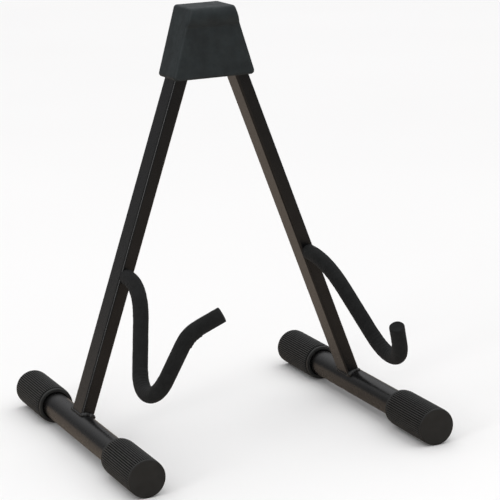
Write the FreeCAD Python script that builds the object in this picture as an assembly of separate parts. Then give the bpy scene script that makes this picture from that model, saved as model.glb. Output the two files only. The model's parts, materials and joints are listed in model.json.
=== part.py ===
import FreeCAD, Part
import math
import os

# Folding A-frame instrument stand: two rectangular-tube legs hinged in a head,
# each welded to a round foot tube with rubber caps, each carrying a bent rod in foam.
# Millimetres, +Z up, -Y is the front (the side the instrument rests on), X = left/right.
# Origin: middle of the bounding box in X and Y, on the floor.

# ---- driving dimensions ----
HALF_SPREAD = 140.0        # foot tube axis from the middle plane, stand open
TOE_REACH = 170.0          # cap end in front of the leg plane
HEEL_REACH = 134.8         # cap end behind the leg plane
FOOT_TUBE_D = 25.0
TUBE_WALL = 1.5
CAP_D = 34.6
CAP_LENGTH = 69.3
CAP_FLOOR = 5.0            # rubber thickness at the closed end
CAP_GROOVE = 1.0           # width and depth of the groove behind the lip
CAP_LIP = 3.0              # length of the smooth lip at the mouth
CAP_LIP_DROP = 0.7         # how far the lip stands inside the cap's outer radius
CAP_LIP_ROUND = 1.6        # bevel on the lip's outer edge
CAP_RIM = 1.5              # bevel round the closed end
CAP_LEAD_IN = 0.8          # bevel on the mouth's inner edge
LEG_W = 12.7
LEG_D = 25.4
LEG_CORNER = 2.2
PIVOT_Z = 376.0
PIVOT_X = 13.0
LEG_PAST_PIVOT = 8.0

RIVET_D = 6.0
RIVET_HEAD_D = 11.0
RIVET_HEAD_H = 1.6
RIVET_HEAD_TAPER = 1.4
PIVOT_HOLE_D = 6.15
BUSH_D = 9.0
WASHER_D = 12.0
WASHER_T = 0.4
BRACKET_T = 2.0
BRACKET_GAP = 0.5          # leg face to bracket plate
BRACKET_TOP_Z = 389.0
BRACKET_LOW_Z = 343.0
STOP_GAP = 0.2             # leg outer face to the stop flange
WINDOW_LOW_Z = 366.0       # the bracket's sides are open above this height

COVER_TOP_Z = 393.0
COVER_LOW_Z = 328.4
COVER_HALF_TOP = 21.8
COVER_HALF_LOW = 40.8
COVER_DEPTH = 40.0
COVER_WALL = 2.2
COVER_SIDE_R = 2.8         # rounding between the sides and everything else
COVER_TOP_R = 3.4          # rounding of the top's front and back edges
COVER_LOW_R = 3.5          # rounding of the lower corners, seen from the front
BROW_LOW_Z = 375.5         # crease under the rounded brow of the cover's front
BROW_MID_Z = 384.2
BROW_OUT = 2.8             # how far the brow swells in front of the flat face
BROW_CREASE_R = 3.2
SCREW_Z = 356.0
SCREW_X = 16.0
SCREW_D = 3.5
SCREW_HEAD_D = 6.5
SCREW_HEAD_H = 1.6
SCREW_HEAD_ROUND = 0.7
BOSS_D = 9.0

ROD_D = 8.0
FOAM_D = 14.2
FOAM_END = 3.0             # foam beyond the rod's end
ARM_ALONG = 144.7          # arm root: distance up the leg from the foot axis
ARM_KNEE_F = 49.3          # forward reach where the arm turns down
ARM_LOW = (26.3, 131.2)    # corner of the cradle bend: up the leg, forward
SHORT_TIP = (103.0, 161.6)
LONG_TURN = (129.2, 169.6)
LONG_TIP = (153.2, 180.0, 20.7)   # up the leg, forward, inward
KNEE_R = 60.0
CRADLE_R = 31.9
TURN_R = 28.4
ARM_WELD_R = 5.8
ARM_WELD_TIP_R = 4.4
ARM_WELD_H = 2.0
WELD_W = 2.4               # weld bead size at the foot

PAST = 30.0                # how far cutting shapes run past what they cut

# ---- worked out from them ----
CAP_R = CAP_D / 2
FOOT_R = FOOT_TUBE_D / 2
PLATE_IN = LEG_D / 2 + BRACKET_GAP
PLATE_OUT = PLATE_IN + BRACKET_T
LEAN = math.atan2(HALF_SPREAD - PIVOT_X, PIVOT_Z - CAP_R)
PIVOT_ALONG = (PIVOT_Z - CAP_R) / math.cos(LEAN)
LEG_TOP_ALONG = PIVOT_ALONG + LEG_PAST_PIVOT


def forward_reach():
    """How far the foam of the long arm stands in front of the leg plane."""
    rise = LONG_TIP[0] - LONG_TURN[0]
    ahead = LONG_TIP[1] - LONG_TURN[1]
    across = LONG_TIP[2]
    ahead_part = ahead / math.sqrt(rise * rise + ahead * ahead + across * across)
    return LONG_TIP[1] + FOAM_D / 2 * math.sqrt(1 - ahead_part * ahead_part)


LEG_Y = (forward_reach() - HEEL_REACH) / 2      # leg plane behind the origin
SIDES = {"left": -1, "right": 1}


def vec(x, y, z):
    return FreeCAD.Vector(x, y, z)


def leg_point(side, along, forward=0.0, outward=0.0):
    """A point given in a leg's own directions, measured from its foot tube axis."""
    sine = math.sin(LEAN)
    cosine = math.cos(LEAN)
    x = side * (HALF_SPREAD - along * sine + outward * cosine)
    z = CAP_R + along * cosine + outward * sine
    return vec(x, LEG_Y - forward, z)


def lean_with_leg(shape, side):
    """Turns an upright shape, made at the origin, to the leg's lean and place."""
    shape.rotate(vec(0, 0, 0), vec(0, 1, 0), -side * math.degrees(LEAN))
    shape.translate(leg_point(side, 0))
    return shape


def cylinder_y(radius, y_from, y_to, x=0.0, z=0.0):
    return Part.makeCylinder(radius, y_to - y_from, vec(x, y_from, z), vec(0, 1, 0))


def upright_bar(width, depth, corner, z_from, z_to):
    """A rectangular bar on the Z axis with rounded long edges."""
    bar = Part.makeBox(width, depth, z_to - z_from, vec(-width / 2, -depth / 2, z_from))
    long_edges = [e for e in bar.Edges if abs(e.tangentAt(e.FirstParameter).z) > 0.99]
    return bar.makeFillet(corner, long_edges)


def pivot(side):
    return vec(side * PIVOT_X, LEG_Y, PIVOT_Z)


# ---- foot: tube, caps, weld ----
def foot_tube(side):
    start = LEG_Y - TOE_REACH + CAP_FLOOR
    end = LEG_Y + HEEL_REACH - CAP_FLOOR
    x = side * HALF_SPREAD
    outer = cylinder_y(FOOT_R, start, end, x, CAP_R)
    return outer.cut(cylinder_y(FOOT_R - TUBE_WALL, start, end, x, CAP_R))


def cap_profile():
    """Half section of a rubber cap: radius against distance from the closed end."""
    lip_r = CAP_R - CAP_LIP_DROP
    groove_r = CAP_R - CAP_GROOVE
    lip_at = CAP_LENGTH - CAP_LIP
    groove_at = lip_at - CAP_GROOVE
    return [
        (0, 0), (CAP_R - CAP_RIM, 0), (CAP_R, CAP_RIM),
        (CAP_R, groove_at), (groove_r, groove_at),
        (groove_r, lip_at), (lip_r, lip_at),
        (lip_r, CAP_LENGTH - CAP_LIP_ROUND), (lip_r - CAP_LIP_ROUND, CAP_LENGTH),
        (FOOT_R + CAP_LEAD_IN, CAP_LENGTH), (FOOT_R, CAP_LENGTH - CAP_LEAD_IN),
        (FOOT_R, CAP_FLOOR), (0, CAP_FLOOR),
    ]


def foot_cap(side, end_y, into):
    """Rubber cap whose closed end is at end_y; into is +1 or -1, towards its mouth."""
    x = side * HALF_SPREAD
    points = [vec(x, end_y + into * d, CAP_R + r) for r, d in cap_profile()]
    points.append(points[0])
    face = Part.Face(Part.makePolygon(points))
    return face.revolve(vec(x, end_y, CAP_R), vec(0, 1, 0), 360)


def round_the_foot(side, radius):
    """A cylinder on the foot tube's axis, reaching past the leg both ways."""
    return cylinder_y(radius, LEG_Y - PAST, LEG_Y + PAST, side * HALF_SPREAD, CAP_R)


def foot_weld(side):
    """Fillet bead all round the leg where it meets the foot tube."""
    wide = upright_bar(LEG_W + 2 * WELD_W, LEG_D + 2 * WELD_W, LEG_CORNER + WELD_W, 0, PAST)
    leg_bar = upright_bar(LEG_W, LEG_D, LEG_CORNER, 0, PAST)
    bead = lean_with_leg(wide, side).common(round_the_foot(side, FOOT_R + WELD_W))
    return bead.cut(lean_with_leg(leg_bar, side)).cut(round_the_foot(side, FOOT_R))


# ---- leg and arm ----
def leg(side):
    """Rectangular tube: coped over the foot tube, drilled for the pivot and the arm rod."""
    outer = upright_bar(LEG_W, LEG_D, LEG_CORNER, 0, LEG_TOP_ALONG)
    inner = upright_bar(LEG_W - 2 * TUBE_WALL, LEG_D - 2 * TUBE_WALL, LEG_CORNER - TUBE_WALL,
                        -1, LEG_TOP_ALONG + 1)
    tube = lean_with_leg(outer.cut(inner), side).cut(round_the_foot(side, FOOT_R))
    at = pivot(side)
    tube = tube.cut(cylinder_y(PIVOT_HOLE_D / 2, LEG_Y - PAST, LEG_Y + PAST, at.x, at.z))
    root = leg_point(side, ARM_ALONG)
    return tube.cut(cylinder_y(ROD_D / 2, LEG_Y - PAST, LEG_Y, root.x, root.z))


def pivot_bush(side):
    half = LEG_D / 2 - TUBE_WALL
    at = pivot(side)
    outer = cylinder_y(BUSH_D / 2, LEG_Y - half, LEG_Y + half, at.x, at.z)
    return outer.cut(cylinder_y(PIVOT_HOLE_D / 2, LEG_Y - half, LEG_Y + half, at.x, at.z))


def arm_corners(side, long_arm):
    """Corner points and bend radii of an arm, from inside the leg to its tip."""
    points = [
        leg_point(side, ARM_ALONG, -(LEG_D / 2 - TUBE_WALL)),
        leg_point(side, ARM_ALONG, ARM_KNEE_F),
        leg_point(side, *ARM_LOW),
    ]
    radii = [KNEE_R, CRADLE_R]
    if long_arm:
        points.append(leg_point(side, *LONG_TURN))
        points.append(leg_point(side, LONG_TIP[0], LONG_TIP[1], -LONG_TIP[2]))
        radii.append(TURN_R)
    else:
        points.append(leg_point(side, *SHORT_TIP))
    return points, radii


def bend(before, corner, after, radius):
    """Start, middle and end of the arc that rounds one corner."""
    back = (before - corner).normalize()
    onward = (after - corner).normalize()
    half = back.getAngle(onward) / 2
    inward = (back + onward).normalize()
    centre = corner + inward * (radius / math.sin(half))
    tangent = radius / math.tan(half)
    return corner + back * tangent, centre - inward * radius, corner + onward * tangent


def arm_path(points, radii, start_skip=0.0, end_skip=0.0):
    """Straight runs and tangent arcs; the skips shorten the two ends."""
    points = list(points)
    points[0] = points[0] + (points[1] - points[0]).normalize() * start_skip
    points[-1] = points[-1] + (points[-2] - points[-1]).normalize() * end_skip
    edges = []
    here = points[0]
    for index, radius in enumerate(radii):
        start, middle, end = bend(points[index], points[index + 1], points[index + 2], radius)
        edges.append(Part.LineSegment(here, start).toShape())
        edges.append(Part.Arc(start, middle, end).toShape())
        here = end
    edges.append(Part.LineSegment(here, points[-1]).toShape())
    return Part.Wire(edges)


def sweep_round(path, diameter):
    """A round bar along the path; the path starts along -Y."""
    start = path.Edges[0].firstVertex().Point
    ring = Part.Wire(Part.makeCircle(diameter / 2, start, vec(0, -1, 0)))
    return path.makePipeShell([ring], True, True)


def arm_rod(side, long_arm):
    points, radii = arm_corners(side, long_arm)
    return sweep_round(arm_path(points, radii, 0, FOAM_END), ROD_D)


def arm_weld_cone(side):
    root = leg_point(side, ARM_ALONG, LEG_D / 2)
    return Part.makeCone(ARM_WELD_R, ARM_WELD_TIP_R, ARM_WELD_H, root, vec(0, -1, 0))


def arm_weld(side):
    """Ring of weld round the rod on the leg's front face."""
    root = leg_point(side, ARM_ALONG)
    return arm_weld_cone(side).cut(
        cylinder_y(ROD_D / 2, LEG_Y - PAST, LEG_Y, root.x, root.z))


def arm_sleeve(side, long_arm):
    """Foam tube over the rod, closed at the tip, from the leg's front face on."""
    points, radii = arm_corners(side, long_arm)
    foam = sweep_round(arm_path(points, radii, LEG_D - TUBE_WALL), FOAM_D)
    return foam.cut(arm_rod(side, long_arm)).cut(arm_weld_cone(side))


# ---- head: bracket, pivots, cover ----
def leg_outer_x(z):
    """Outer face of an open leg at height z."""
    centre = HALF_SPREAD - (z - CAP_R) * math.tan(LEAN)
    return centre + LEG_W / 2 / math.cos(LEAN)


def trapezoid_block(z_low, half_low, z_top, half_top, y_half):
    """Solid with sloping sides, symmetric about X = 0, centred on the leg plane."""
    y = LEG_Y - y_half
    points = [vec(-half_low, y, z_low), vec(half_low, y, z_low),
              vec(half_top, y, z_top), vec(-half_top, y, z_top)]
    face = Part.Face(Part.makePolygon(points + [points[0]]))
    return face.extrude(vec(0, 2 * y_half, 0))


def hinge_bracket():
    """Folded sheet: front and back plates, top web, and side flanges the legs stop on."""
    slack = STOP_GAP / math.cos(LEAN)
    skin = BRACKET_T / math.cos(LEAN)
    low_in = leg_outer_x(BRACKET_LOW_Z) + slack
    top_in = leg_outer_x(BRACKET_TOP_Z) + slack
    outer = trapezoid_block(BRACKET_LOW_Z, low_in + skin, BRACKET_TOP_Z, top_in + skin, PLATE_OUT)
    open_z = BRACKET_LOW_Z - PAST
    web_z = BRACKET_TOP_Z - BRACKET_T
    room = trapezoid_block(open_z, leg_outer_x(open_z) + slack,
                           web_z, leg_outer_x(web_z) + slack, PLATE_IN)
    bracket = outer.cut(room).cut(side_window())
    for side in SIDES.values():
        at = pivot(side)
        hole = cylinder_y(RIVET_D / 2, LEG_Y - PAST, LEG_Y + PAST, at.x, at.z)
        screw = cylinder_y(SCREW_D / 2, LEG_Y, LEG_Y + PAST, side * SCREW_X, SCREW_Z)
        bracket = bracket.cut(hole).cut(screw)
    return bracket


def side_window():
    """Opens each side above the stop flanges, where a folding leg's top swings out."""
    half = COVER_HALF_LOW + PAST
    height = BRACKET_TOP_Z - BRACKET_T - WINDOW_LOW_Z
    return Part.makeBox(2 * half, 2 * PLATE_IN, height, vec(-half, LEG_Y - PLATE_IN, WINDOW_LOW_Z))


def pivot_rivet(side):
    at = pivot(side)
    shank = cylinder_y(RIVET_D / 2, LEG_Y - PLATE_OUT, LEG_Y + PLATE_OUT, at.x, at.z)
    heads = []
    for sign in (-1, 1):
        face_y = LEG_Y + sign * PLATE_OUT
        heads.append(Part.makeCone(RIVET_HEAD_D / 2, RIVET_HEAD_D / 2 - RIVET_HEAD_TAPER,
                                   RIVET_HEAD_H, vec(at.x, face_y, at.z), vec(0, sign, 0)))
    return shank.multiFuse(heads).removeSplitter()


def pivot_washers():
    """Four thin washers between the legs and the bracket plates."""
    rings = []
    for side in SIDES.values():
        at = pivot(side)
        for sign in (-1, 1):
            plate = LEG_Y + sign * PLATE_IN
            start, end = sorted((plate, plate - sign * WASHER_T))
            ring = cylinder_y(WASHER_D / 2, start, end, at.x, at.z)
            rings.append(ring.cut(cylinder_y(RIVET_D / 2, start, end, at.x, at.z)))
    return Part.makeCompound(rings)


def cover_block(inset, low_z):
    """Solid outline of the cover with a brow across the front, moved inwards by inset."""
    slope = (COVER_HALF_LOW - COVER_HALF_TOP) / (COVER_TOP_Z - COVER_LOW_Z)
    side_inset = inset * math.sqrt(1 + slope * slope)
    top_z = COVER_TOP_Z - inset
    half_low = COVER_HALF_LOW + slope * (COVER_LOW_Z - low_z) - side_inset
    half_top = COVER_HALF_TOP + slope * inset - side_inset
    front_y = LEG_Y - COVER_DEPTH / 2 + inset
    back_y = LEG_Y + COVER_DEPTH / 2 - inset
    crease = vec(-half_low, front_y, BROW_LOW_Z)
    crest = vec(-half_low, front_y - BROW_OUT, BROW_MID_Z)
    top_front = vec(-half_low, front_y, top_z)
    top_back = vec(-half_low, back_y, top_z)
    low_back = vec(-half_low, back_y, low_z)
    low_front = vec(-half_low, front_y, low_z)
    runs = [
        Part.LineSegment(low_front, crease).toShape(),
        Part.Arc(crease, crest, top_front).toShape(),
        Part.LineSegment(top_front, top_back).toShape(),
        Part.LineSegment(top_back, low_back).toShape(),
        Part.LineSegment(low_back, low_front).toShape(),
    ]
    side_view = Part.Face(Part.Wire(runs)).extrude(vec(2 * half_low, 0, 0))
    front_view = trapezoid_block(low_z, half_low, top_z, half_top, COVER_DEPTH)
    return side_view, front_view


def round_cross_edges(block, z, radius):
    """Rounds the edges that run along X at height z."""
    across = [e for e in block.Edges
              if abs(e.tangentAt(e.FirstParameter).x) > 0.99
              and all(abs(v.Z - z) < 0.01 for v in e.Vertexes)]
    return block.makeFillet(radius, across)


def round_low_corners(block):
    """Rounds the two bottom edges that run from front to back."""
    corners = [e for e in block.Edges
               if abs(e.tangentAt(e.FirstParameter).y) > 0.99
               and all(abs(v.Z - COVER_LOW_Z) < 0.01 for v in e.Vertexes)]
    return block.makeFillet(COVER_LOW_R, corners)


def touches_side_face(edge):
    """True for an edge that lies on one of the cover's two sloping sides."""
    slope = (COVER_HALF_LOW - COVER_HALF_TOP) / (COVER_TOP_Z - COVER_LOW_Z)
    return all(abs(abs(v.X) - COVER_HALF_TOP - slope * (COVER_TOP_Z - v.Z)) < 0.01
               for v in edge.Vertexes)


def head_cover():
    """Moulded cap open at the bottom, with pads that grip the bracket plates."""
    side_view, front_view = cover_block(0, COVER_LOW_Z)
    front_view = round_low_corners(front_view)
    side_view = round_cross_edges(side_view, BROW_LOW_Z, BROW_CREASE_R)
    side_view = round_cross_edges(side_view, COVER_TOP_Z, COVER_TOP_R)
    outer = side_view.common(front_view)
    sides = [e for e in outer.Edges if touches_side_face(e)
             and max(v.Z for v in e.Vertexes) > COVER_LOW_Z + 0.01]
    outer = outer.makeFillet(COVER_SIDE_R, sides)
    hollow, hollow_front = cover_block(COVER_WALL, COVER_LOW_Z - PAST)
    cover = outer.cut(hollow.common(hollow_front))
    pads = []
    holes = []
    in_wall = COVER_DEPTH / 2 - COVER_WALL / 2
    for side in SIDES.values():
        x = side * SCREW_X
        pads.append(cylinder_y(BOSS_D / 2, LEG_Y + PLATE_OUT, LEG_Y + in_wall, x, SCREW_Z))
        pads.append(cylinder_y(BOSS_D / 2, LEG_Y - in_wall, LEG_Y - PLATE_OUT, x, SCREW_Z))
        holes.append(cylinder_y(SCREW_D / 2, LEG_Y, LEG_Y + PAST, x, SCREW_Z))
    return cover.multiFuse(pads).cut(Part.makeCompound(holes)).removeSplitter()


def cover_screws():
    """Two pan-head screws through the back of the cover into the bracket."""
    screws = []
    back = LEG_Y + COVER_DEPTH / 2
    for side in SIDES.values():
        shank = cylinder_y(SCREW_D / 2, LEG_Y + PLATE_IN, back, side * SCREW_X, SCREW_Z)
        head = cylinder_y(SCREW_HEAD_D / 2, back, back + SCREW_HEAD_H, side * SCREW_X, SCREW_Z)
        rim = [e for e in head.Edges if min(v.Y for v in e.Vertexes) > back + 0.01]
        head = head.makeFillet(SCREW_HEAD_ROUND, rim)
        screws.append(shank.fuse(head).removeSplitter())
    return Part.makeCompound(screws)


def build():
    nodes = {
        "head_cover": head_cover(),
        "hinge_bracket": hinge_bracket(),
        "cover_screws": cover_screws(),
        "pivot_washers": pivot_washers(),
    }
    for name, side in SIDES.items():
        long_arm = name == "left"
        nodes[name + "_pivot_rivet"] = pivot_rivet(side)
        nodes[name + "_pivot_bush"] = pivot_bush(side)
        nodes[name + "_leg"] = leg(side)
        nodes[name + "_foot_tube"] = foot_tube(side)
        nodes[name + "_foot_weld"] = foot_weld(side)
        nodes[name + "_front_cap"] = foot_cap(side, LEG_Y - TOE_REACH, 1)
        nodes[name + "_rear_cap"] = foot_cap(side, LEG_Y + HEEL_REACH, -1)
        nodes[name + "_arm_rod"] = arm_rod(side, long_arm)
        nodes[name + "_arm_weld"] = arm_weld(side)
        nodes[name + "_arm_sleeve"] = arm_sleeve(side, long_arm)
    return nodes


def export(nodes):
    os.makedirs("parts", exist_ok=True)
    for name, shape in nodes.items():
        shape.exportStep("parts/" + name + ".step")
        print(name, len(shape.Solids), shape.isValid(), round(shape.Volume, 1))


export(build())
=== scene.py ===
import json
import math

import bmesh
import bpy
from mathutils import Matrix, Vector, noise


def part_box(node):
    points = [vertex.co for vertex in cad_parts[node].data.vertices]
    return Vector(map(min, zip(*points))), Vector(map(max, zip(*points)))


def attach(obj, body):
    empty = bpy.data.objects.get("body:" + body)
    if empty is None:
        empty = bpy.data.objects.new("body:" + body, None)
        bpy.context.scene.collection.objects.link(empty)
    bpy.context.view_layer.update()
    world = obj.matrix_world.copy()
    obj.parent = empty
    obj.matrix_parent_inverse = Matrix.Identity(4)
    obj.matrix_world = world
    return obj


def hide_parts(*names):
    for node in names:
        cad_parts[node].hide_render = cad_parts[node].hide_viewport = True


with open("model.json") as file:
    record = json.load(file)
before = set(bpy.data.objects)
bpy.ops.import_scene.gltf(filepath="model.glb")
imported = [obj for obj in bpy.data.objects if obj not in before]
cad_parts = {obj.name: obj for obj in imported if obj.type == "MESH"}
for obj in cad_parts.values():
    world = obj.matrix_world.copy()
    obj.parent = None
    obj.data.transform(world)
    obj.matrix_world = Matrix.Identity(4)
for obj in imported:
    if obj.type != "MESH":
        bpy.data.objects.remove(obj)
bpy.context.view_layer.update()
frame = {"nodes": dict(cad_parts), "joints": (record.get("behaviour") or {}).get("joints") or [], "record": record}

# A folding A-frame instrument stand. The legs, foot tubes, head cover and hinge parts are
# the CAD nodes with new materials; rubber caps, foam sleeves, weld beads and screws are
# modelled here. Metres, +Z up, -Y is the front.

SIDES = {"left": -1, "right": 1}

# ---- places read from the frame ----
PIVOT = {joint["child"]: Vector(joint["pos_m"]) for joint in frame["joints"]}["right_side"]
FOOT_LOW, FOOT_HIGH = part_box("right_foot_tube")
FOOT_AXIS = (FOOT_LOW + FOOT_HIGH) / 2
FOOT_R = (FOOT_HIGH.x - FOOT_LOW.x) / 2
LEG_Y = PIVOT.y
LEAN = math.atan2(FOOT_AXIS.x - PIVOT.x, PIVOT.z - FOOT_AXIS.z)

# ---- rubber caps, as the CAD has them ----
CAP_R = FOOT_AXIS.z - 0.00002  # a hair inside the CAD solid
CAP_LENGTH = 0.0693
CAP_FLOOR = 0.0050             # rubber thickness at the closed end
RIBS = 52
RIB_DEPTH = 0.0015
RIB_BACK = 0.40                # share of the pitch that is a rib's back
RIB_CROWN = 0.07               # how much of a rib's height its back curves away
RIB_STEPS = 14
GROOVE_WIDTH = 0.0012
LIP_WIDTH = 0.0030
BURIED_R = FOOT_R - 0.0002     # the bore's wall, just under the foot tube's surface

# ---- legs and arms, as the CAD has them ----
LEG_HALF_W = 0.00635
LEG_HALF_D = 0.0127
LEG_CORNER = 0.0022
ARM_ALONG = 0.1447             # arm root: up the leg from the foot axis
ARM_KNEE_F = 0.0493            # corner of the first bend, forward of the leg's middle
ARM_LOW = (0.0263, 0.1312)     # corner of the cradle bend: up the leg, forward
SHORT_TIP = (0.1030, 0.1616)
LONG_TURN = (0.1292, 0.1696)
LONG_TIP = (0.1532, 0.1800, 0.0207)    # up the leg, forward, inward
KNEE_R = 0.060
CRADLE_R = 0.0319
TURN_R = 0.0284

# ---- foam sleeves ----
FOAM_R = 0.0071
FOAM_STEP = 0.0009             # between two rings
FOAM_SIDES = 72
FOAM_MARGIN = 0.00012          # keeps the uneven skin inside the CAD solid
FOAM_END_R = 0.0009            # rounding of the cut ends
FOAM_DISH = 0.00028            # how far the end discs are sunk
WRINKLE_PITCH = 0.0046         # of the faint wrinkles inside a bend

# ---- weld beads ----
WELD_RIPPLE = 0.0027           # pitch of the bead's scales
WELD_SIDES = 18

# ---- cover screws ----
SCREW_R = 0.00325
SCREW_HEIGHT = 0.0016
SCREW_SKIRT = 0.0006           # how far the head reaches into the cover
SCREW_SIDES = 96
SCREW_RINGS = 26
RECESS_DEPTH = 0.0011

# ---- what most of a noise texture's values span ----
WIDE = (0.3, 0.7)
NARROW = (0.35, 0.65)

# ---- a colour Mix node's sockets, whose names its other types share ----
MIX_A, MIX_B, MIX_OUT = 6, 7, 2


def leg_point(side, along, forward=0.0, outward=0.0):
    """A point given in a leg's own directions, measured from its foot tube axis."""
    x = side * (FOOT_AXIS.x - along * math.sin(LEAN) + outward * math.cos(LEAN))
    z = FOOT_AXIS.z + along * math.cos(LEAN) + outward * math.sin(LEAN)
    return Vector((x, LEG_Y - forward, z))


# ---- mesh helpers ----
def grid_mesh(name, rows, wrap_rows=False, painted_shade=None):
    """A surface through rows of points; each row is a closed ring. A one-point row is a pole.

    A last argument gives each point a value of painted shade, which the material reads: it darkens the colour
    there and makes it duller.
    """
    mesh = bpy.data.meshes.new(name)
    bm = bmesh.new()
    rings = [[bm.verts.new(p) for p in row] for row in rows]
    pairs = list(zip(rings, rings[1:]))
    if wrap_rows:
        pairs.append((rings[-1], rings[0]))
    for a, b in pairs:
        count = max(len(a), len(b))
        for i in range(count):
            j = (i + 1) % count
            if len(a) == 1:
                bm.faces.new((a[0], b[j], b[i]))
            elif len(b) == 1:
                bm.faces.new((a[i], a[j], b[0]))
            else:
                bm.faces.new((a[i], a[j], b[j], b[i]))
    bmesh.ops.recalc_face_normals(bm, faces=bm.faces)
    bm.to_mesh(mesh)
    bm.free()
    mesh.shade_smooth()
    if painted_shade is not None:
        # the per-point painted shade, read by the rubber's material
        values = mesh.attributes.new("painted_shade", "FLOAT", "POINT")
        values.data.foreach_set("value", [value for row in painted_shade for value in row])
    piece = bpy.data.objects.new(name, mesh)
    bpy.context.scene.collection.objects.link(piece)
    return piece


def add_piece(piece, body, node, material):
    """Gives a piece its material and body; it stands for a CAD node of that slot."""
    piece.data.materials.append(material)
    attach(piece, body)
    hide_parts(node)


def blob(point, scale, strength):
    """Smooth repeatable noise, from -strength to strength."""
    return strength * noise.noise(point * scale)


# ---- rubber caps ----
def arc_rows(centre_d, centre_r, radius, from_deg, to_deg, steps):
    """(distance, radius) pairs along an arc of a cap's outline; 90 degrees is outward."""
    pairs = []
    for k in range(steps + 1):
        angle = math.radians(from_deg + (to_deg - from_deg) * k / steps)
        pairs.append((centre_d - radius * math.cos(angle), centre_r + radius * math.sin(angle)))
    return pairs


def cap_outline():
    """Rows of a rubber cap: distance from the closed end, radius, ribs' depth, darkness (painted shade put into
    the colour).
    """
    rim = 0.0010
    dish = 0.0002
    smooth_r = CAP_R - 0.0002
    # The last number of each row darkens the colour towards near-black: painted shade in the crease, groove, mouth
    # and bore, and a painted dimming of the end disc, its edge and the lip.
    disc = [(dish * (1 - share * share), (smooth_r - rim) * share, 0.0, 0.5)
            for share in (0.0, 0.2, 0.4, 0.6, 0.8, 0.93, 1.0)]
    corner = [(d, r, 0.0, 0.55) for d, r in arc_rows(rim, smooth_r - rim, rim, 10, 90, 7)]
    crease = [(0.0015, smooth_r, 0.0, 0.4), (0.00175, smooth_r - 0.0007, 0.0, 1.0),
              (0.0022, smooth_r - 0.0008, 0.0, 1.0)]
    lip_at = CAP_LENGTH - LIP_WIDTH
    groove_at = lip_at - GROOVE_WIDTH
    rib_from = 0.0024
    rib_to = groove_at - 0.0002
    ease = 0.0003
    eased_r = CAP_R - 0.00015
    rib_rows = 8
    ribs = [(rib_from, eased_r, 0.9, 0.0)]
    ribs += [(rib_from + ease + (rib_to - rib_from - 2 * ease) * k / rib_rows, CAP_R, 1.0, 0.0)
             for k in range(rib_rows + 1)]
    ribs += [(rib_to, eased_r, 0.9, 0.0)]
    bottom = CAP_R - 0.0017
    groove = [(groove_at, CAP_R - 0.0012, 0.0, 1.0), (groove_at + 0.0001, bottom, 0.0, 1.0),
              (lip_at - 0.0001, bottom, 0.0, 1.0), (lip_at, bottom + 0.0003, 0.0, 0.7)]
    lip_r = CAP_R - 0.0006
    fore = 0.0010
    aft = 0.0011
    lip = [(d, r, 0.0, 0.45) for d, r in arc_rows(lip_at + fore, lip_r - fore, fore, 5, 90, 6)]
    lip += [(d, r, 0.0, 0.25) for d, r in
            arc_rows(CAP_LENGTH - aft, lip_r - aft, aft, 95, 185, 9)]
    mouth_r = FOOT_R + 0.0007
    mouth = [(CAP_LENGTH - 0.0001, mouth_r + 0.0010, 0.0, 0.05),
             (CAP_LENGTH - 0.0003, mouth_r + 0.0003, 0.0, 0.1),
             (CAP_LENGTH - 0.0007, mouth_r, 0.0, 0.5),
             (CAP_LENGTH - 0.0013, mouth_r - 0.0001, 0.0, 0.9),
             (CAP_LENGTH - 0.0015, BURIED_R, 0.0, 1.0)]
    bore = [(CAP_FLOOR, BURIED_R, 0.0, 1.0), (CAP_FLOOR, 0.0, 0.0, 1.0)]
    return disc + corner + crease + ribs + groove + lip + mouth + bore


def rib_height(share):
    """1 on the crowned back of a rib, falling to 0 at the bottom of the V between two."""
    away = abs(2 * share - 1)
    if away < RIB_BACK:
        return 1 - RIB_CROWN * (away / RIB_BACK) ** 2
    return (1 - RIB_CROWN) * (1 - away) / (1 - RIB_BACK)


def ribbed_cap(name, x, end_y, into):
    """One cap; into is +1 or -1, from the closed end towards the mouth along Y."""
    around = RIBS * RIB_STEPS
    # how fast the painted shade deepens into the V between two ribs
    darkening = 2.0
    rows = []
    painted_shade = []
    for d, radius, cut, dark in cap_outline():
        y = end_y + into * d
        if radius == 0:
            rows.append([Vector((x, y, FOOT_AXIS.z))])
            painted_shade.append([dark])
            continue
        row = []
        row_shade = []
        for k in range(around):
            turn = k / around
            crest = rib_height((k % RIB_STEPS) / RIB_STEPS)
            r = radius - cut * RIB_DEPTH * (1 - crest)
            angle = 2 * math.pi * (turn - 0.5 / RIBS) - math.pi / 2
            row.append(Vector((x + r * math.cos(angle), y, FOOT_AXIS.z + r * math.sin(angle))))
            # painted shade: darker down in the V between ribs, never less than the row's own painted darkness
            row_shade.append(max(dark, min(1.0, cut * (1 - crest) * darkening)))
        rows.append(row)
        painted_shade.append(row_shade)
    return grid_mesh(name, rows, painted_shade=painted_shade)


# ---- foam sleeves ----
def arm_corners(side, long_arm):
    """Corner points and bend radii of an arm's centre line, from the leg's front face."""
    points = [
        leg_point(side, ARM_ALONG, LEG_HALF_D),
        leg_point(side, ARM_ALONG, ARM_KNEE_F),
        leg_point(side, *ARM_LOW),
    ]
    radii = [KNEE_R, CRADLE_R]
    if long_arm:
        points.append(leg_point(side, *LONG_TURN))
        points.append(leg_point(side, LONG_TIP[0], LONG_TIP[1], -LONG_TIP[2]))
        radii.append(TURN_R)
    else:
        points.append(leg_point(side, *SHORT_TIP))
    return points, radii


def straight(start, end):
    """Points from start up to, but not at, end, with no pull."""
    count = max(1, round((end - start).length / FOAM_STEP))
    return [(start.lerp(end, k / count), Vector((0, 0, 0))) for k in range(count)]


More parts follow.
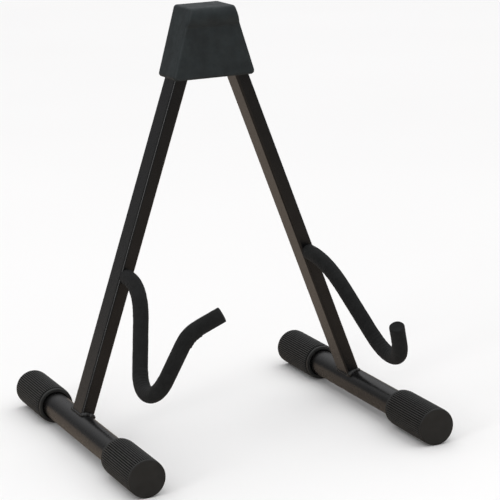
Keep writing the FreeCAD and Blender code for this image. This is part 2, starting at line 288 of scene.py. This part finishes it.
def bend(before, corner, after, radius):
    """Where the bend round a corner starts, its points with their pull, and where it ends.

    The pull is 1 long in the cradle bend and shorter in wider ones.
    """
    back = (before - corner).normalized()
    onward = (after - corner).normalized()
    half = back.angle(onward) / 2
    centre = corner + (back + onward).normalized() * (radius / math.sin(half))
    start = corner + back * (radius / math.tan(half))
    end = corner + onward * (radius / math.tan(half))
    turn = math.pi - 2 * half
    axis = (start - centre).cross(end - centre).normalized()
    count = max(4, round(radius * turn / FOAM_STEP))
    points = []
    for k in range(count):
        spoke = Matrix.Rotation(turn * k / count, 3, axis) @ (start - centre)
        points.append((centre + spoke, -spoke.normalized() * (CRADLE_R / radius)))
    return start, points, end


def arm_line(side, long_arm):
    """The arm's centre line as (point, pull) pairs; pull points to the bend's centre."""
    corners, radii = arm_corners(side, long_arm)
    line = []
    here = corners[0]
    for index, radius in enumerate(radii):
        start, points, end = bend(corners[index], corners[index + 1], corners[index + 2],
                                  radius)
        line += straight(here, start) + points
        here = end
    line += straight(here, corners[-1])
    line.append((corners[-1], Vector((0, 0, 0))))
    return line


def end_rounding(distance, length):
    """How far the foam's radius is drawn in at a distance along it, at either end."""
    near = min(distance, length - distance)
    if near >= FOAM_END_R:
        return 0.0
    return FOAM_END_R - math.sqrt(max(0.0, FOAM_END_R ** 2 - (FOAM_END_R - near) ** 2))


def foam_ring(point, frame_x, frame_y, pull, distance, length):
    """One ring of foam: uneven, fuller inside a bend, thinner outside it, flared at the root."""
    bulge = 0.00070
    wrinkle_depth = 0.00016
    thinning = 0.00016
    flare = 0.00035
    flare_reach = 0.0014
    ring = []
    for k in range(FOAM_SIDES):
        angle = 2 * math.pi * k / FOAM_SIDES
        out = frame_x * math.cos(angle) + frame_y * math.sin(angle)
        inside = max(0.0, out.dot(pull))
        outside = max(0.0, -out.dot(pull))
        wrinkle = math.sin(distance * 2 * math.pi / WRINKLE_PITCH + blob(point, 90, 1.4))
        r = FOAM_R - FOAM_MARGIN
        r += inside * (bulge + wrinkle_depth * wrinkle) - outside ** 2 * thinning
        r += blob(point + out * FOAM_R, 210, 0.00010) + blob(point + out * FOAM_R, 700, 0.00004)
        r += flare * math.exp(-distance / flare_reach)
        r -= end_rounding(distance, length)
        ring.append(point + out * r)
    return ring


def foam_sleeve(name, side, long_arm):
    """A foam tube along the arm with rounded ends, closed by discs that are slightly dished."""
    line = arm_line(side, long_arm)
    gaps = [(b[0] - a[0]).length for a, b in zip(line, line[1:])]
    length = sum(gaps)
    # short steps at the two ends so that their rounding is smooth
    ease = [0.0, 0.00008, 0.00025, 0.0005, FOAM_END_R]
    stations = []
    travelled = 0.0
    for (point, pull), gap in zip(line, gaps + [0.0]):
        if ease[-1] < travelled < length - ease[-1]:
            stations.append((travelled, point, pull))
        travelled += gap
    first = (line[1][0] - line[0][0]).normalized()
    last = (line[-1][0] - line[-2][0]).normalized()
    no_pull = Vector((0, 0, 0))
    head = [(e, line[0][0] + first * e, no_pull) for e in ease]
    tail = [(length - e, line[-1][0] - last * e, no_pull) for e in reversed(ease)]
    stations = head + stations + tail
    points = [station[1] for station in stations]
    tangents = [first] + [(points[k + 1] - points[k - 1]).normalized()
                          for k in range(1, len(points) - 1)] + [last]
    frame_x = Vector((0, 0, 1)).cross(first).normalized()
    rows = []
    for (distance, point, pull), tangent in zip(stations, tangents):
        frame_x = (frame_x - tangent * frame_x.dot(tangent)).normalized()
        frame_y = tangent.cross(frame_x)
        rows.append(foam_ring(point, frame_x, frame_y, pull, distance, length))
    rows = end_disc(rows[0], points[0], first)[::-1] + rows
    rows += end_disc(rows[-1], points[-1], -last)
    return grid_mesh(name, rows)


def end_disc(ring, centre, inward):
    """Rings that close an end: nearly flat, sunk a little towards the middle."""
    rings = []
    for share in (0.85, 0.6, 0.3):
        sink = inward * (FOAM_DISH * (1 - share) ** 0.5)
        rings.append([centre.lerp(p, share) + sink + inward * blob(p, 900, 0.00003) for p in ring])
    rings.append([centre + inward * FOAM_DISH])
    return rings


# ---- weld beads ----
def leg_outline(steps=168):
    """Round the leg's section: (point, outward direction, distance travelled).

    Points and directions are (outward, forward) in the leg's own directions.
    """
    flat_o = LEG_HALF_W - LEG_CORNER
    flat_f = LEG_HALF_D - LEG_CORNER
    arc = LEG_CORNER * math.pi / 2
    sides = [(2 * flat_f, arc), (2 * flat_o, arc), (2 * flat_f, arc), (2 * flat_o, arc)]
    total = sum(a + b for a, b in sides)
    points = []
    for k in range(steps):
        s = total * k / steps
        turn = 0
        while s > sum(sides[turn]):
            s -= sum(sides[turn])
            turn += 1
        reach, half = (flat_o, flat_f) if turn % 2 == 0 else (flat_f, flat_o)
        if s < 2 * half:
            at = Vector((reach + LEG_CORNER, -half + s))
            normal = Vector((1, 0))
        else:
            angle = (s - 2 * half) / LEG_CORNER
            normal = Vector((math.cos(angle), math.sin(angle)))
            at = Vector((reach, half)) + normal * LEG_CORNER
        spin = Matrix.Rotation(turn * math.pi / 2, 2)
        points.append((spin @ at, spin @ normal, total * k / steps))
    return points


def weld_bead(name, side):
    """A lumpy bead round the foot of the leg, lying in the corner against the foot tube."""
    rows = []
    for (outward, forward), normal, travelled in leg_outline():
        # the foot tube's surface under this point of the leg's outline
        along = math.sqrt(FOOT_R ** 2 - min(outward ** 2, FOOT_R ** 2))
        seed = leg_point(side, along, forward, outward)
        scale = abs(math.sin(math.pi * (travelled / WELD_RIPPLE + blob(seed, 120, 0.5))))
        # more metal lies along the leg's narrow front and back faces
        heavy = normal.y ** 2
        centre_out = 0.0002 + 0.0007 * heavy + blob(seed, 170, 0.0003 + 0.0004 * heavy)
        thick = 0.0008 + 0.0011 * heavy + (0.0003 + 0.0003 * heavy) * scale
        thick += blob(seed, 260, 0.0003 + 0.0009 * heavy)
        row = []
        for k in range(WELD_SIDES):
            angle = 2 * math.pi * k / WELD_SIDES
            spoke = Vector((math.cos(angle), math.sin(angle), 0))
            rough = thick * (1 + blob(seed + spoke * thick, 900, 0.14))
            push = centre_out + rough * math.cos(angle)
            lift = 0.0004 + rough * math.sin(angle)
            row.append(leg_point(side, along + lift, forward + normal.y * push,
                                 outward + normal.x * push))
        rows.append(row)
    return grid_mesh(name, rows, wrap_rows=True)


# ---- screws ----
def cross_recess(r, angle, reach, width):
    """1 inside a cross-shaped driver recess, 0 outside it, with soft edges."""
    u = abs(r * math.cos(angle))
    v = abs(r * math.sin(angle))
    across = min(u, v)
    along = max(u, v)
    soft = 0.00012
    side_steepness = 2.2
    end_steepness = 1.6
    in_width = 1 / (1 + math.exp((across - width) / soft * side_steepness))
    in_reach = 1 / (1 + math.exp((along - reach) / soft * end_steepness))
    return in_width * in_reach


def screw_head(centre, radius, height):
    """Rows of a pan head that stands out along +Y, with a cross recess."""
    angles = [2 * math.pi * k / SCREW_SIDES for k in range(SCREW_SIDES)]
    rows = [[(0.0, 0.0, -SCREW_SKIRT)]]
    edge = [(-SCREW_SKIRT, 1.0), (0.0, 1.0), (height * 0.45, 1.0), (height * 0.62, 0.985)]
    for y, share in edge:
        rows.append([(radius * share, angle, y) for angle in angles])
    for k in range(SCREW_RINGS):
        share = 0.96 * (1 - k / SCREW_RINGS)
        dome = height * (1 - 0.24 * share ** 4 - 0.1 * share ** 12)
        row = []
        for angle in angles:
            sunk = cross_recess(radius * share, angle, radius * 0.56, radius * 0.15)
            row.append((radius * share, angle, dome - RECESS_DEPTH * sunk))
        rows.append(row)
    rows.append([(0.0, 0.0, height - RECESS_DEPTH)])
    return [[centre + Vector((r * math.cos(angle), y, r * math.sin(angle)))
             for r, angle, y in row] for row in rows]


def cover_screws(material):
    """The heads of the two screws in the back of the cover."""
    low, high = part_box("cover_screws")
    back = high.y - SCREW_HEIGHT
    middle_z = (low.z + high.z) / 2
    for name, x in (("left", low.x + SCREW_R), ("right", high.x - SCREW_R)):
        rows = screw_head(Vector((x, back, middle_z)), SCREW_R, SCREW_HEIGHT)
        piece = grid_mesh(name + "_cover_screw", rows)
        add_piece(piece, "head", "cover_screws", material)


# ---- materials ----
class Shader:
    """A material being built: a principled node and short ways to add what drives it."""

    def __init__(self, name, color, roughness, **sockets):
        self.material = bpy.data.materials.new(name)
        self.material.use_nodes = True
        self.nodes = self.material.node_tree.nodes
        self.links = self.material.node_tree.links
        self.surface = self.nodes["Principled BSDF"]
        self.surface.inputs["Base Color"].default_value = (*color, 1)
        self.surface.inputs["Roughness"].default_value = roughness
        for socket, value in sockets.items():
            self.surface.inputs[socket.replace("_", " ")].default_value = value
        self.place = self.nodes.new("ShaderNodeTexCoord").outputs["Object"]

    def noise(self, scale, detail=4.0, roughness=0.55):
        node = self.nodes.new("ShaderNodeTexNoise")
        node.inputs["Scale"].default_value = scale
        node.inputs["Detail"].default_value = detail
        node.inputs["Roughness"].default_value = roughness
        self.links.new(self.place, node.inputs["Vector"])
        return node.outputs["Fac"]

    def cells(self, scale):
        """Distance from the middle of round cells."""
        node = self.nodes.new("ShaderNodeTexVoronoi")
        node.inputs["Scale"].default_value = scale
        self.links.new(self.place, node.inputs["Vector"])
        return node.outputs["Distance"]

    def span(self, value, low, high, from_low, from_high):
        """Value carried from from_low..from_high to low..high, and held there beyond."""
        node = self.nodes.new("ShaderNodeMapRange")
        node.inputs["From Min"].default_value = from_low
        node.inputs["From Max"].default_value = from_high
        node.inputs["To Min"].default_value = low
        node.inputs["To Max"].default_value = high
        self.links.new(value, node.inputs["Value"])
        return node.outputs["Result"]

    def mix(self, factor, first, second):
        """Between two colours; each is a colour or a socket."""
        node = self.nodes.new("ShaderNodeMix")
        node.data_type = "RGBA"
        self.links.new(factor, node.inputs["Factor"])
        for socket, value in ((node.inputs[MIX_A], first), (node.inputs[MIX_B], second)):
            if isinstance(value, tuple):
                socket.default_value = (*value, 1)
            else:
                self.links.new(value, socket)
        return node.outputs[MIX_OUT]

    def mottled(self, value, first, second, between=NARROW):
        """Patches of two colours, by where a texture's value lies between two numbers."""
        return self.mix(self.span(value, 0, 1, *between), first, second)

    def attribute(self, name):
        node = self.nodes.new("ShaderNodeAttribute")
        node.attribute_name = name
        return node.outputs["Fac"]

    def upward(self):
        """1 where the surface faces up, 0 where it is upright or faces down."""
        node = self.nodes.new("ShaderNodeNewGeometry")
        split = self.nodes.new("ShaderNodeSeparateXYZ")
        self.links.new(node.outputs["Normal"], split.inputs["Vector"])
        return self.span(split.outputs["Z"], 0.0, 1.0, 0.15, 1.0)

    def dust(self, scale, most):
        """Specks that lie on what faces up, from 0 to most."""
        specks = self.span(self.noise(scale, 5, 0.7), 0.0, most, 0.4, 0.75)
        return self.maths("MULTIPLY", self.upward(), specks)

    def maths(self, operation, first, second):
        node = self.nodes.new("ShaderNodeMath")
        node.operation = operation
        self.links.new(first, node.inputs[0])
        self.links.new(second, node.inputs[1])
        return node.outputs["Value"]

    def clear_from_behind(self):
        """Lets the surface be seen through from its back, so the object shows from below."""
        blend = self.nodes.new("ShaderNodeMixShader")
        behind = self.nodes.new("ShaderNodeNewGeometry").outputs["Backfacing"]
        clear = self.nodes.new("ShaderNodeBsdfTransparent").outputs["BSDF"]
        self.links.new(behind, blend.inputs[0])
        self.links.new(self.surface.outputs["BSDF"], blend.inputs[1])
        self.links.new(clear, blend.inputs[2])
        self.links.new(blend.outputs["Shader"], self.nodes["Material Output"].inputs["Surface"])

    def set(self, socket, value):
        self.links.new(value, self.surface.inputs[socket])

    def bump(self, *layers):
        """Stacks height layers, each (value, depth in metres)."""
        below = None
        for value, depth in layers:
            node = self.nodes.new("ShaderNodeBump")
            node.inputs["Distance"].default_value = depth
            self.links.new(value, node.inputs["Height"])
            if below is not None:
                self.links.new(below, node.inputs["Normal"])
            below = node.outputs["Normal"]
        self.links.new(below, self.surface.inputs["Normal"])


def powder_coat(name, dark, light, rough_low, rough_high, specular):
    """Black powder coat: faint mottling, orange peel and fine grain."""
    s = Shader(name, dark, rough_low, Specular_IOR_Level=specular)
    s.set("Base Color", s.mottled(s.noise(60, 3), dark, light, (0.35, 0.7)))
    s.set("Roughness", s.span(s.noise(240, 4), rough_low, rough_high, *WIDE))
    s.bump((s.noise(420, 2), 0.00002), (s.noise(2600, 2), 0.00001))
    return s.material


def moulded_plastic():
    """Charcoal plastic with a fine spark-eroded grain and a little handling polish."""
    s = Shader("cover_plastic_charcoal", (0.020, 0.025, 0.027), 0.6, Specular_IOR_Level=0.4)
    blotches = s.mottled(s.noise(75, 4, 0.6), (0.0083, 0.0126, 0.0142),
                         (0.0148, 0.0214, 0.0233), (0.34, 0.66))
    s.set("Base Color", s.mix(s.dust(650, 0.35), blotches, (0.050, 0.056, 0.058)))
    s.set("Roughness", s.span(s.noise(120, 5, 0.65), 0.52, 0.76, *WIDE))
    s.bump((s.noise(1500, 3, 0.6), 0.00008), (s.cells(2600), 0.00003))
    return s.material


def ribbed_rubber():
    """Matte rubber, duller between the ribs and darkened there by painted shade, with dust on what faces up."""
    s = Shader("cap_rubber_black", (0.02, 0.02, 0.0195), 0.5, Specular_IOR_Level=0.32)
    rubber = s.mottled(s.noise(150, 4), (0.021, 0.0215, 0.0205), (0.031, 0.0315, 0.0300), WIDE)
    painted_shade = s.attribute("painted_shade")
    # painted shade: near-black colour where the per-point painted shade is high, in the grooves, crease, mouth and
    # bore, over the disc edge and lip, and partly over the end disc
    groove = s.mix(painted_shade, rubber, (0.0006, 0.0006, 0.0006))
    s.set("Base Color", s.mix(s.dust(420, 0.5), groove, (0.030, 0.0295, 0.0280)))
    s.set("Roughness", s.maths("MAXIMUM", s.span(s.noise(300, 3), 0.44, 0.58, *WIDE), painted_shade))
    s.bump((s.noise(900, 3), 0.00007), (s.noise(3200, 2), 0.00003))
    return s.material


def closed_cell_foam():
    """Charcoal foam rubber: fine cells, soft mottling and a dusty sheen."""
    s = Shader("arm_foam_black", (0.010, 0.0103, 0.0103), 0.85, Specular_IOR_Level=0.15,
               Sheen_Weight=0.02, Sheen_Roughness=0.5)
    skin = s.mottled(s.noise(130, 4, 0.6), (0.0085, 0.0090, 0.0090), (0.0135, 0.0141, 0.0141),
                     WIDE)
    pores = s.cells(1500)
    s.set("Base Color", s.mix(s.span(pores, 0.0, 0.7, 0.45, 0.9), skin, (0.004, 0.004, 0.004)))
    s.bump((s.noise(420, 4, 0.6), 0.00022), (pores, 0.00016), (s.noise(2600, 3), 0.00008))
    return s.material


def plated_steel():
    """Zinc plate with fine spangle."""
    s = Shader("zinc_plate", (0.5, 0.5, 0.49), 0.35, Metallic=1.0)
    s.set("Base Color", s.mottled(s.noise(500, 3), (0.42, 0.42, 0.41), (0.56, 0.56, 0.54)))
    s.set("Roughness", s.span(s.noise(900, 3), 0.28, 0.45, *WIDE))
    s.bump((s.noise(2200, 2), 0.00002))
    return s.material


def black_oxide():
    """Blackened steel with a faint grain."""
    s = Shader("screw_black_oxide", (0.03, 0.03, 0.031), 0.42, Metallic=0.6)
    s.set("Base Color", s.mottled(s.noise(900, 3), (0.022, 0.022, 0.023), (0.05, 0.05, 0.05)))
    s.bump((s.noise(3000, 3), 0.00002))
    return s.material


def natural_nylon():
    """Uncoloured nylon, off-white and slightly cloudy."""
    s = Shader("washer_nylon_white", (0.7, 0.69, 0.64), 0.45)
    s.set("Base Color", s.mottled(s.noise(800, 3), (0.64, 0.63, 0.58), (0.74, 0.73, 0.69)))
    s.bump((s.noise(2400, 2), 0.00002))
    return s.material


def dress_cad_nodes(by_slot):
    """Gives every CAD node the material of its slot in the record."""
    for part in frame["record"]["subparts"]:
        node = frame["nodes"][part["node"]]
        for slot in node.material_slots:
            slot.material = by_slot[part["material_slot"]]


# ---- camera, floor, light ----
def place_camera():
    """Seen from the front left and a little above, on a long lens."""
    azimuth = math.radians(-23.66)
    elevation = math.radians(13.55)
    roll = math.radians(-1.99)
    distance = 2.0115
    target = Vector((0.0370, LEG_Y, 0.1597))
    back = Vector((math.sin(azimuth) * math.cos(elevation),
                   -math.cos(azimuth) * math.cos(elevation), math.sin(elevation)))
    right = Vector((0, 0, 1)).cross(back).normalized()
    up = back.cross(right)
    right_rolled = right * math.cos(roll) + up * math.sin(roll)
    up_rolled = up * math.cos(roll) - right * math.sin(roll)
    data = bpy.data.cameras.new("camera")
    data.sensor_width = 36
    data.lens = 154.69
    camera = bpy.data.objects.new("camera", data)
    bpy.context.scene.collection.objects.link(camera)
    turn = Matrix((right_rolled, up_rolled, back)).transposed()
    camera.matrix_world = Matrix.Translation(target + back * distance) @ turn.to_4x4()
    bpy.context.scene.camera = camera


def make_floor():
    """A pale paper floor, wide enough to pass for endless."""
    half = 14.0
    mesh = bpy.data.meshes.new("floor")
    corners = [(-half, -half, 0), (half, -half, 0), (half, half, 0), (-half, half, 0)]
    mesh.from_pydata(corners, [], [(0, 1, 2, 3)])
    floor = bpy.data.objects.new("floor", mesh)
    bpy.context.scene.collection.objects.link(floor)
    shader = Shader("floor_paper", (0.92, 0.915, 0.905), 0.8, Specular_IOR_Level=0.1)
    paper = shader.mottled(shader.noise(1.2, 2), (0.915, 0.910, 0.900), (0.930, 0.925, 0.915),
                           WIDE)
    # in the gloss of the paint the floor reads as a warmer and dimmer sheet, grey further off
    away = shader.nodes.new("ShaderNodeVectorMath")
    away.operation = "LENGTH"
    shader.links.new(shader.place, away.inputs[0])
    near, far = 0.7, 2.2
    sheet = shader.mottled(away.outputs["Value"], (0.52, 0.43, 0.352), (0.27, 0.27, 0.26),
                           (near, far))
    gloss = shader.nodes.new("ShaderNodeLightPath").outputs["Is Glossy Ray"]
    shader.set("Base Color", shader.mix(gloss, paper, sheet))
    shader.clear_from_behind()
    mesh.materials.append(shader.material)


def make_sky():
    """A soft dome: bright overhead, dim round the horizon and a little brighter at the right.

    Where it shows behind the object it is a plain pale backdrop.
    """
    strength = 1.5
    right_side = (-0.1, 0.5)
    right_gain = 0.12
    backdrop_color = (0.630, 0.628, 0.630, 1)
    greys = ((0.0, 0.125, 0.129), (0.23, 0.125, 0.1275), (0.455, 0.31, 0.3162),
             (0.75, 0.8, 0.816), (1.0, 1.0, 1.0))
    world = bpy.data.worlds.new("studio")
    bpy.context.scene.world = world
    world.use_nodes = True
    nodes = world.node_tree.nodes
    links = world.node_tree.links
    coordinates = nodes.new("ShaderNodeTexCoord")
    split = nodes.new("ShaderNodeSeparateXYZ")
    ramp = nodes.new("ShaderNodeValToRGB")
    links.new(coordinates.outputs["Generated"], split.inputs["Vector"])
    right = nodes.new("ShaderNodeMapRange")
    right.inputs["From Min"].default_value, right.inputs["From Max"].default_value = right_side
    right.inputs["To Min"].default_value = 0.0
    right.inputs["To Max"].default_value = right_gain
    links.new(split.outputs["X"], right.inputs["Value"])
    height = nodes.new("ShaderNodeMath")
    height.operation = "ADD"
    links.new(split.outputs["Z"], height.inputs[0])
    links.new(right.outputs["Result"], height.inputs[1])
    links.new(height.outputs["Value"], ramp.inputs["Fac"])
    backdrop = nodes.new("ShaderNodeMix")
    backdrop.data_type = "RGBA"
    backdrop.inputs[MIX_B].default_value = backdrop_color
    links.new(nodes.new("ShaderNodeLightPath").outputs["Is Camera Ray"], backdrop.inputs["Factor"])
    links.new(ramp.outputs["Color"], backdrop.inputs[MIX_A])
    links.new(backdrop.outputs[MIX_OUT], nodes["Background"].inputs["Color"])
    # a new ramp has one stop at each end
    stops = ramp.color_ramp.elements
    for position, _, _ in greys[1:-1]:
        stops.new(position)
    for stop, (_, grey, blue) in zip(stops, greys):
        stop.color = (grey, grey, blue, 1)
    nodes["Background"].inputs["Strength"].default_value = strength


def make_softbox():
    """A large soft light at the front left, turned to the stand."""
    at = Vector((-2.6, -1.35, 0.95))
    towards = Vector((0, 0, 0.15))
    data = bpy.data.lights.new("box_left", "AREA")
    data.shape = "RECTANGLE"
    data.size = 0.7
    data.size_y = 1.2
    data.energy = 19
    light = bpy.data.objects.new("box_left", data)
    bpy.context.scene.collection.objects.link(light)
    light.location = at
    light.rotation_euler = (towards - at).to_track_quat("-Z", "Y").to_euler()
    light.visible_camera = False


# ---- putting it together ----
def set_the_scene():
    place_camera()
    make_floor()
    make_sky()
    make_softbox()
    bpy.context.scene.view_settings.view_transform = "Standard"


def build_pieces():
    """Finishes the CAD nodes and adds the pieces that replace some of them."""
    rubber = ribbed_rubber()
    foam = closed_cell_foam()
    foot_paint = powder_coat("foot_paint_black", (0.003, 0.003, 0.003), (0.005, 0.005, 0.005),
                             0.26, 0.32, 0.41)
    frame_paint = powder_coat("frame_paint_black", (0.002, 0.002, 0.0022), (0.004, 0.004, 0.0042),
                              0.26, 0.32, 0.39)
    weld_paint = powder_coat("weld_paint_black", (0.007, 0.007, 0.007), (0.014, 0.014, 0.014),
                             0.30, 0.42, 0.38)
    oxide = black_oxide()
    dress_cad_nodes({
        "cover_plastic": moulded_plastic(),
        "frame_paint": frame_paint,
        "foot_paint": foot_paint,
        "cap_rubber": rubber,
        "arm_foam": foam,
        "bare_steel": plated_steel(),
        "black_screw": oxide,
        "washer_nylon": natural_nylon(),
    })
    cover_screws(oxide)
    for name, side in SIDES.items():
        body = name + "_side"
        for end, into in (("front", 1), ("rear", -1)):
            node = name + "_" + end + "_cap"
            low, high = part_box(node)
            end_y = low.y if into > 0 else high.y
            cap = ribbed_cap(node + "_ribbed", (low.x + high.x) / 2, end_y, into)
            add_piece(cap, body, node, rubber)
        sleeve = foam_sleeve(name + "_arm_foam", side, name == "left")
        add_piece(sleeve, body, name + "_arm_sleeve", foam)
        bead = weld_bead(name + "_foot_weld_bead", side)
        add_piece(bead, body, name + "_foot_weld", weld_paint)


set_the_scene()
build_pieces()
